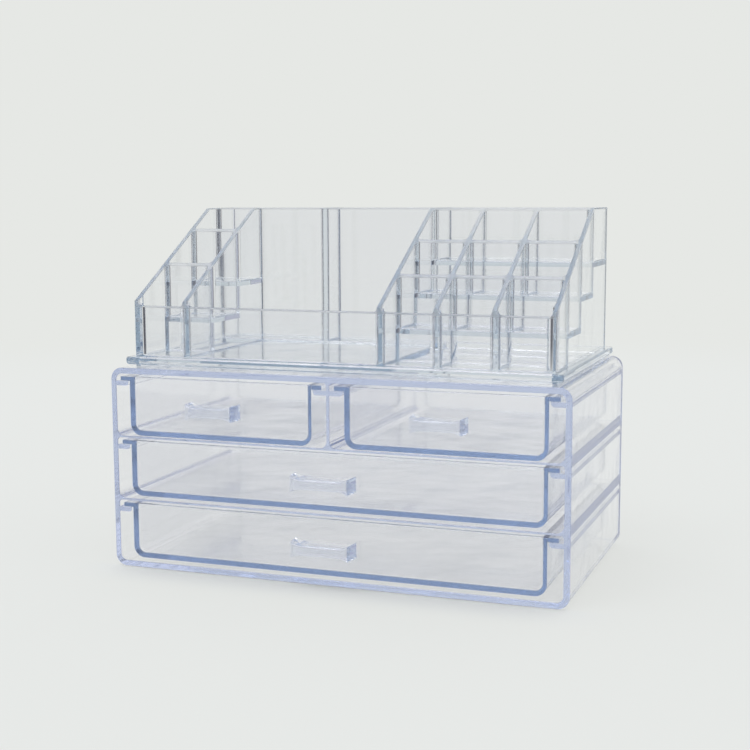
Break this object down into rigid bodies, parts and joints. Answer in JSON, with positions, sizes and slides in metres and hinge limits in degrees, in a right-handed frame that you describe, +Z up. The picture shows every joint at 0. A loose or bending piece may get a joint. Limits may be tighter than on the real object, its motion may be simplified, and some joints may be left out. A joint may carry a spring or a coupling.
{
  "type": "drawer organizer",
  "caption": "Clear moulded organizer: a rounded cabinet with drawers that slide on side rails by waisted pulls, under a lift-off sorting tray with stepped compartments.",
  "frame": {"origin": "on the resting surface, under the middle of the cabinet's width and depth", "axes": "+Z up, drawers open towards -Y, +X to the right as seen from the front"},
  "size_m": [0.24, 0.1401, 0.184],
  "materials": {
    "case_plastic": "clear polished styrene, bluish at its edges",
    "drawer_plastic": "clear polished styrene, blue at its edges",
    "tray_plastic": "clear polished styrene, almost colourless",
    "pull_plastic": "clear polished styrene, solid bar"
  },
  "bodies": {
    "cabinet": {"cabinet_shell": "case_plastic"},
    "tray": {"top_tray": "tray_plastic"},
    "small_left": {"small_drawer_left": "drawer_plastic", "small_pull_left": "pull_plastic"},
    "small_right": {"small_drawer_right": "drawer_plastic", "small_pull_right": "pull_plastic"},
    "middle": {"middle_drawer": "drawer_plastic", "middle_pull": "pull_plastic"},
    "bottom": {"bottom_drawer": "drawer_plastic", "bottom_pull": "pull_plastic"}
  },
  "joints": [
    {"name": "small_left_slide", "type": "slide", "parent": "cabinet", "child": "small_left", "axis": [0, -1, 0], "range_m": [0, 0.1]},
    {"name": "small_right_slide", "type": "slide", "parent": "cabinet", "child": "small_right", "axis": [0, -1, 0], "range_m": [0, 0.1]},
    {"name": "middle_slide", "type": "slide", "parent": "cabinet", "child": "middle", "axis": [0, -1, 0], "range_m": [0, 0.1]},
    {"name": "bottom_slide", "type": "slide", "parent": "cabinet", "child": "bottom", "axis": [0, -1, 0], "range_m": [0, 0.1]},
    {"name": "tray_lift", "type": "slide", "parent": "cabinet", "child": "tray", "axis": [0, 0, 1], "range_m": [0, 0.1]}
  ]
}
